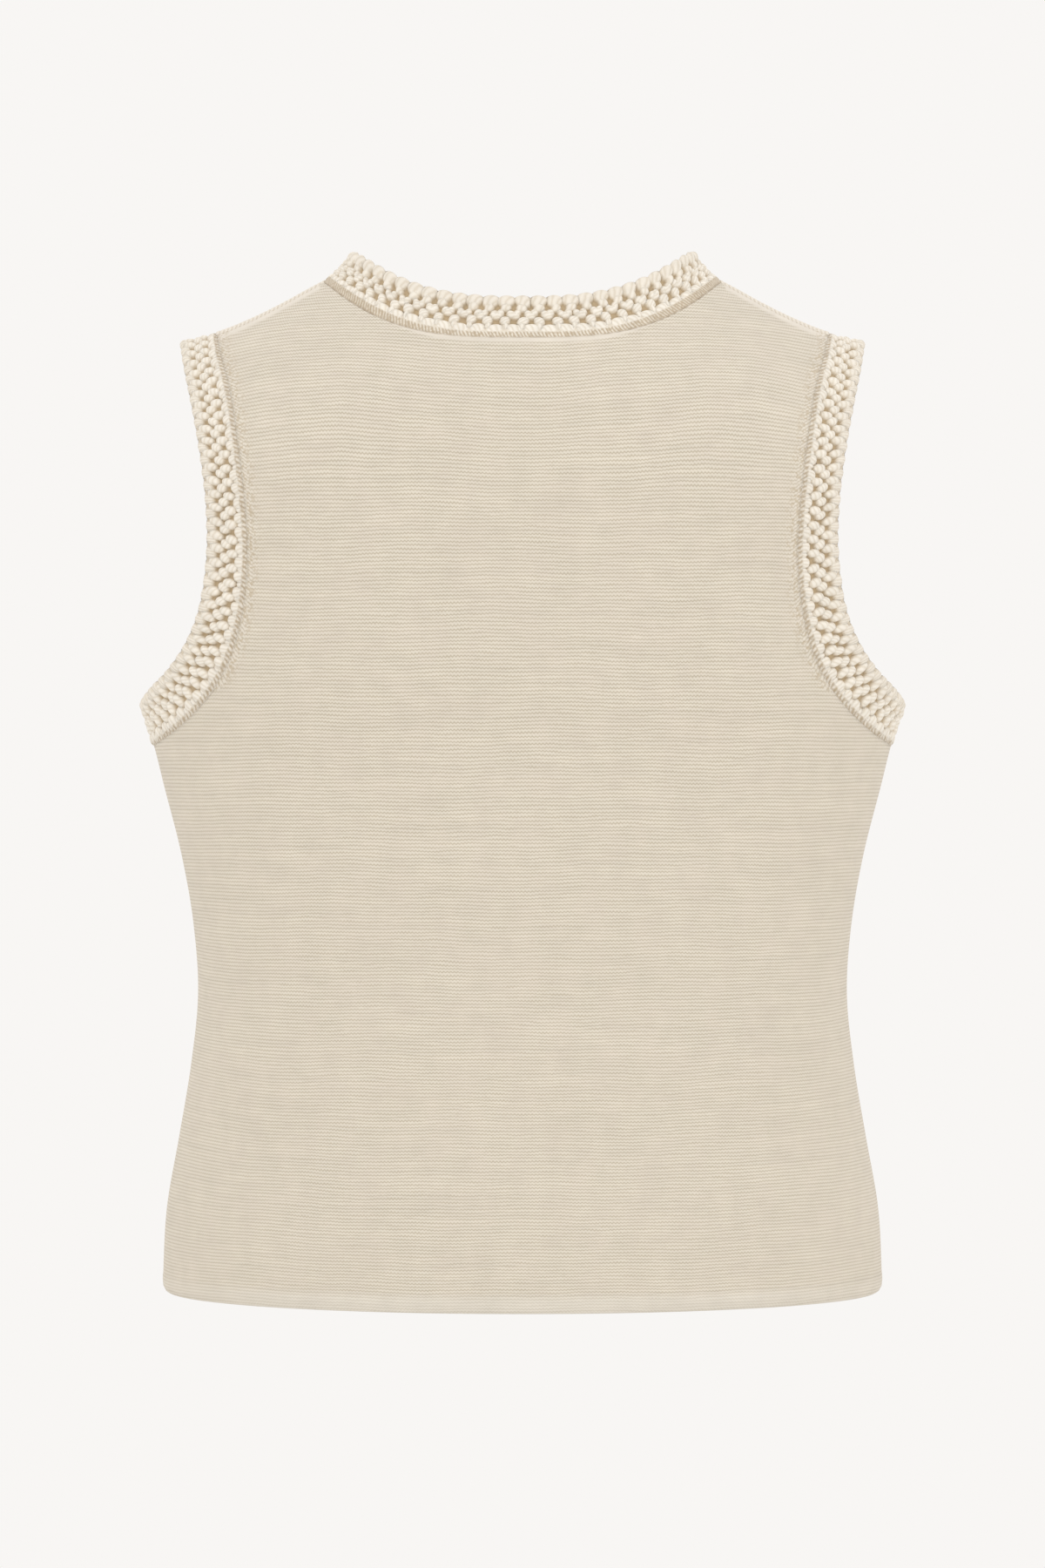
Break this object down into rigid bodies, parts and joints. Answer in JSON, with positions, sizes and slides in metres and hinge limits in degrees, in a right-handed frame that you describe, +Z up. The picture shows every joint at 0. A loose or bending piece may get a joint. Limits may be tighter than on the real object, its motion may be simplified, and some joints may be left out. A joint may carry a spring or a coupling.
{
  "type": "knitted sweater vest",
  "caption": "Sleeveless fine-knit vest, hollow and filled out as when worn, with lace crochet bands at the neck and armholes, linked shoulder seams and a plain turned hem.",
  "frame": {"origin": "midway between the wearer's shoulders, level with the shoulder folds beside the neck, where the wearer carries the vest", "axes": "+Z up towards the neck, -Y towards the wearer's back, +X towards the wearer's right"},
  "size_m": [0.376, 0.2215, 0.5112],
  "materials": {
    "knit": "matt fine-gauge knit, purl side out",
    "crochet": "matt soft-spun yarn, crocheted",
    "linking": "matt knit, linked edge"
  },
  "bodies": {
    "root": {"back_panel": "knit", "front_panel": "knit", "neck_band": "crochet", "armhole_band_left": "crochet", "armhole_band_right": "crochet", "shoulder_seam_left": "linking", "shoulder_seam_right": "linking"}
  },
  "joints": []
}
